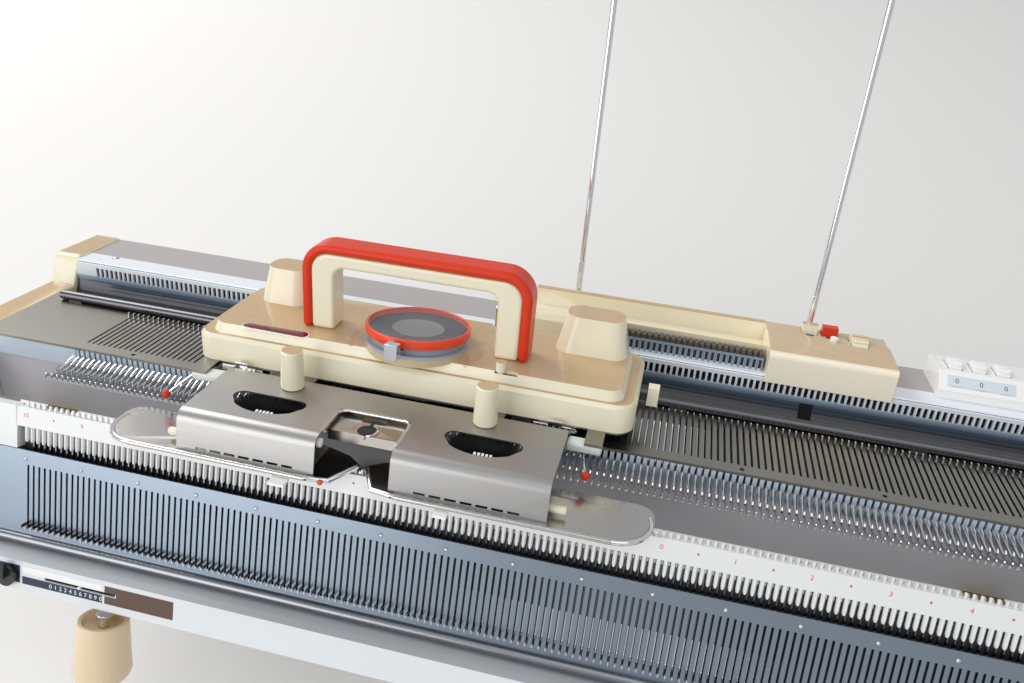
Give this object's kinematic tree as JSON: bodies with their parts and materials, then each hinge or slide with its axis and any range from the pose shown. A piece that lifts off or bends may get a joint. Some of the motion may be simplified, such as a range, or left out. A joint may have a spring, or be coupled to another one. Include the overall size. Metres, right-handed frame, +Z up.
{
  "type": "flat knitting machine",
  "caption": "Flat-bed domestic knitting machine with a needle bed, card unit, row counter and sliding carriage, and a rib bed lowered in front.",
  "frame": {"origin": "middle of the underside of the middle rear foot, on the table top", "axes": "+Z up, +X right along the beds as seen by the knitter, +Y away from the knitter; the needle bed leans back 18 degrees"},
  "size_m": [1.112, 0.4792, 0.4882],
  "materials": {
    "case_paint": "smooth pale grey enamel",
    "plate_steel": "fine satin rolled steel",
    "channel_black": "matt black",
    "needle_steel": "polished",
    "rail_steel": "ground bright steel",
    "rack_paint": "smooth pale blue-grey enamel",
    "cream_plastic": "moulded cream plastic, glossy",
    "foot_rubber": "matt",
    "stand_zinc": "yellow zinc plate",
    "chrome": "polished chrome",
    "reader_grey": "satin moulded grey",
    "red_plastic": "moulded orange-red plastic, glossy",
    "white_plastic": "moulded white plastic",
    "cam_steel": "hardened steel",
    "lens_clear": "clear moulded lens",
    "sheet_aluminium": "brushed sheet",
    "brush_black": "black nylon bristle",
    "rail_white": "white enamel",
    "black_plastic": "moulded black plastic"
  },
  "bodies": {
    "machine": {"base_tray": "case_paint", "bed_plate": "plate_steel", "needle_channel": "channel_black", "gate_pegs": "needle_steel", "main_needles": "needle_steel", "carriage_rail": "rail_steel", "rear_channel": "rack_paint", "rear_cover": "case_paint", "end_caps": "cream_plastic", "rear_feet": "foot_rubber", "bed_stands": "stand_zinc", "yarn_masts": "chrome", "card_tray": "cream_plastic", "selector_plates": "reader_grey", "card_housing": "cream_plastic", "counter_case": "white_plastic", "rib_base": "rail_white", "rib_brackets": "case_paint"},
    "carriage": {"carriage_plate": "plate_steel", "front_runners": "white_plastic", "carriage_cams": "cam_steel", "carriage_cover": "cream_plastic", "handle_frame": "cream_plastic", "handle_grip": "red_plastic", "yarn_pin": "chrome", "sinker_cover": "sheet_aluminium", "sinker_wings": "chrome", "yarn_feeder": "chrome"},
    "left_drum": {"left_drum": "reader_grey"},
    "right_drum": {"right_drum": "reader_grey"},
    "stitch_dial": {"stitch_dial": "red_plastic", "dial_lens": "lens_clear"},
    "cam_lever": {"cam_lever": "chrome"},
    "cover_button": {"cover_button": "cream_plastic"},
    "left_thumb_screw": {"left_thumb_screw": "cream_plastic"},
    "right_thumb_screw": {"right_thumb_screw": "cream_plastic"},
    "left_release_lever": {"left_release_lever": "chrome"},
    "right_release_lever": {"right_release_lever": "chrome"},
    "side_lever": {"side_lever": "cream_plastic"},
    "left_brush_wheel": {"left_brush_wheel": "brush_black"},
    "right_brush_wheel": {"right_brush_wheel": "brush_black"},
    "card_stop_lever": {"card_stop_lever": "cream_plastic"},
    "card_lock_lever": {"card_lock_lever": "red_plastic"},
    "card_button": {"card_button": "white_plastic"},
    "feed_wheel": {"feed_wheel": "cream_plastic"},
    "counter_wheel_hundreds": {"counter_wheel_hundreds": "white_plastic"},
    "counter_wheel_tens": {"counter_wheel_tens": "white_plastic"},
    "counter_wheel_units": {"counter_wheel_units": "white_plastic"},
    "rib_bed": {"rib_plate": "plate_steel", "rib_channel": "channel_black", "rib_comb": "white_plastic", "rib_needles": "needle_steel", "rib_front_rail": "rail_steel", "rack_pointer": "white_plastic"},
    "half_pitch_lever": {"half_pitch_lever": "black_plastic"},
    "racking_crank": {"racking_crank": "chrome"},
    "racking_knob": {"racking_knob": "cream_plastic"}
  },
  "joints": [
    {"name": "carriage_slide", "type": "slide", "parent": "machine", "child": "carriage", "axis": [1, 0, 0], "range_m": [-0.185, 0.565]},
    {"name": "left_drum_roll", "type": "hinge", "parent": "carriage", "child": "left_drum", "pos_m": [-0.309, -0.05745, 0.10008], "axis": [0, 0.309, 0.9511], "range_deg": [-311, 944]},
    {"name": "right_drum_roll", "type": "hinge", "parent": "carriage", "child": "right_drum", "pos_m": [-0.071, -0.05745, 0.10008], "axis": [0, 0.309, 0.9511], "range_deg": [-311, 944]},
    {"name": "stitch_dial_turn", "type": "hinge", "parent": "carriage", "child": "stitch_dial", "pos_m": [-0.19, -0.08708, 0.14834], "axis": [0, 0.3907, 0.9205], "range_deg": [-150, 150]},
    {"name": "cam_lever_turn", "type": "hinge", "parent": "carriage", "child": "cam_lever", "pos_m": [-0.19, -0.08865, 0.14466], "axis": [0, 0.3907, 0.9205], "range_deg": [-35, 45]},
    {"name": "cover_button_slide", "type": "slide", "parent": "carriage", "child": "cover_button", "axis": [1, 0, 0], "range_m": [0, 0.008]},
    {"name": "left_thumb_screw_turn", "type": "hinge", "parent": "carriage", "child": "left_thumb_screw", "pos_m": [-0.264, -0.14327, 0.12922], "axis": [0, 0.309, 0.9511], "continuous": true},
    {"name": "right_thumb_screw_turn", "type": "hinge", "parent": "carriage", "child": "right_thumb_screw", "pos_m": [-0.126, -0.14327, 0.12922], "axis": [0, 0.309, 0.9511], "continuous": true},
    {"name": "left_release_swing", "type": "hinge", "parent": "carriage", "child": "left_release_lever", "pos_m": [-0.312, -0.11793, 0.11658], "axis": [0, 0.309, 0.9511], "range_deg": [-8, 8]},
    {"name": "right_release_swing", "type": "hinge", "parent": "carriage", "child": "right_release_lever", "pos_m": [-0.082, -0.11793, 0.11658], "axis": [0, 0.309, 0.9511], "range_deg": [-8, 8]},
    {"name": "side_lever_turn", "type": "hinge", "parent": "carriage", "child": "side_lever", "pos_m": [-0.0295, -0.08567, 0.11556], "axis": [1, 0, 0], "range_deg": [-25, 25]},
    {"name": "left_brush_spin", "type": "hinge", "parent": "carriage", "child": "left_brush_wheel", "pos_m": [-0.2695, -0.177, 0.11926], "axis": [0, 0.309, 0.9511], "continuous": true},
    {"name": "right_brush_spin", "type": "hinge", "parent": "carriage", "child": "right_brush_wheel", "pos_m": [-0.121, -0.177, 0.11926], "axis": [0, 0.309, 0.9511], "continuous": true},
    {"name": "card_stop_rock", "type": "hinge", "parent": "machine", "child": "card_stop_lever", "pos_m": [0.0935, 0.0348, 0.08829], "axis": [1, 0, 0], "range_deg": [-10, 10]},
    {"name": "card_lock_rock", "type": "hinge", "parent": "machine", "child": "card_lock_lever", "pos_m": [0.109, 0.0348, 0.08829], "axis": [1, 0, 0], "range_deg": [-10, 10]},
    {"name": "card_button_press", "type": "slide", "parent": "machine", "child": "card_button", "axis": [0, -0.309, -0.9511], "range_m": [0, 0.002], "stiffness_N_per_m": 200},
    {"name": "feed_wheel_turn", "type": "hinge", "parent": "machine", "child": "feed_wheel", "pos_m": [0.1295, 0.02648, 0.10151], "axis": [1, 0, 0], "continuous": true},
    {"name": "counter_hundreds_turn", "type": "hinge", "parent": "machine", "child": "counter_wheel_hundreds", "pos_m": [0.1985, 0.01967, 0.1032], "axis": [1, 0, 0], "continuous": true},
    {"name": "counter_tens_turn", "type": "hinge", "parent": "machine", "child": "counter_wheel_tens", "pos_m": [0.2155, 0.01967, 0.1032], "axis": [1, 0, 0], "continuous": true},
    {"name": "counter_units_turn", "type": "hinge", "parent": "machine", "child": "counter_wheel_units", "pos_m": [0.2325, 0.01967, 0.1032], "axis": [1, 0, 0], "continuous": true},
    {"name": "rib_rack", "type": "slide", "parent": "machine", "child": "rib_bed", "axis": [1, 0, 0], "range_m": [-0.0225, 0.0225]},
    {"name": "racking_crank_turn", "type": "hinge", "parent": "machine", "child": "racking_crank", "pos_m": [-0.372, -0.24405, -0.01132], "axis": [0, -0.515, -0.8572], "range_deg": [-1800, 1800]},
    {"name": "racking_knob_spin", "type": "hinge", "parent": "racking_crank", "child": "racking_knob", "pos_m": [-0.372, -0.28178, -0.01198], "axis": [0, -0.515, -0.8572], "continuous": true},
    {"name": "half_pitch_turn", "type": "hinge", "parent": "machine", "child": "half_pitch_lever", "pos_m": [-0.447, -0.26795, 0.01588], "axis": [0, -0.8572, 0.515], "range_deg": [-25, 25]}
  ],
  "couplings": [
    {"joint": "left_drum_roll", "follows": "carriage_slide", "rad_per_m": 29.089},
    {"joint": "right_drum_roll", "follows": "carriage_slide", "rad_per_m": 29.089},
    {"joint": "racking_crank_turn", "follows": "rib_rack", "rad_per_m": 1396.3}
  ]
}
